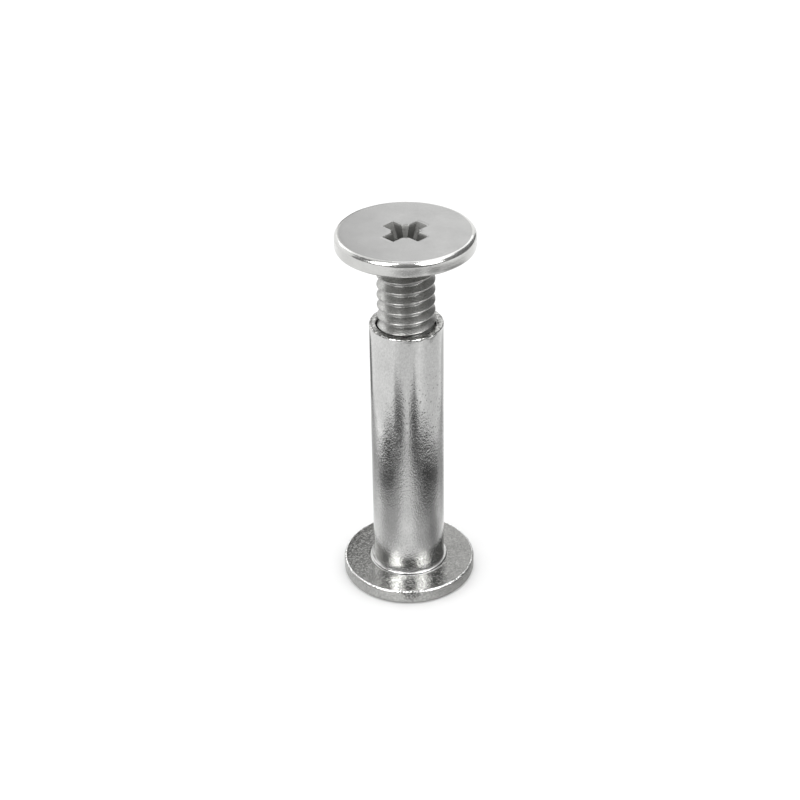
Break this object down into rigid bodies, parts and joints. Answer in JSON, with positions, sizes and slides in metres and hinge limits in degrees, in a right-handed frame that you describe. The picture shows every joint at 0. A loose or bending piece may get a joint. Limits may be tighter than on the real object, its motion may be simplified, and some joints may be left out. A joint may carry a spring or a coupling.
{
  "type": "binding barrel screw",
  "caption": "Two-piece binding fastener: a flanged barrel with a blind threaded bore and a thin flat-headed screw with a cross recess, partly unscrewed.",
  "frame": {"origin": "centre of the bottom face of the barrel's flange", "axes": "+Z along the common axis of barrel and screw, from the flange towards the screw's head; X and Y are free apart from the cross recess, whose slots lie at 45 degrees to them"},
  "size_m": [0.0098, 0.0098, 0.0281],
  "materials": {
    "nickel_plated_steel": "satin nickel plate, brighter at the rims"
  },
  "bodies": {
    "barrel": {"barrel": "nickel_plated_steel"},
    "screw": {"screw": "nickel_plated_steel"}
  },
  "joints": [
    {"name": "screw_travel", "type": "slide", "parent": "barrel", "child": "screw", "axis": [0, 0, 1], "range_m": [-0.00595, 0.00397]}
  ]
}
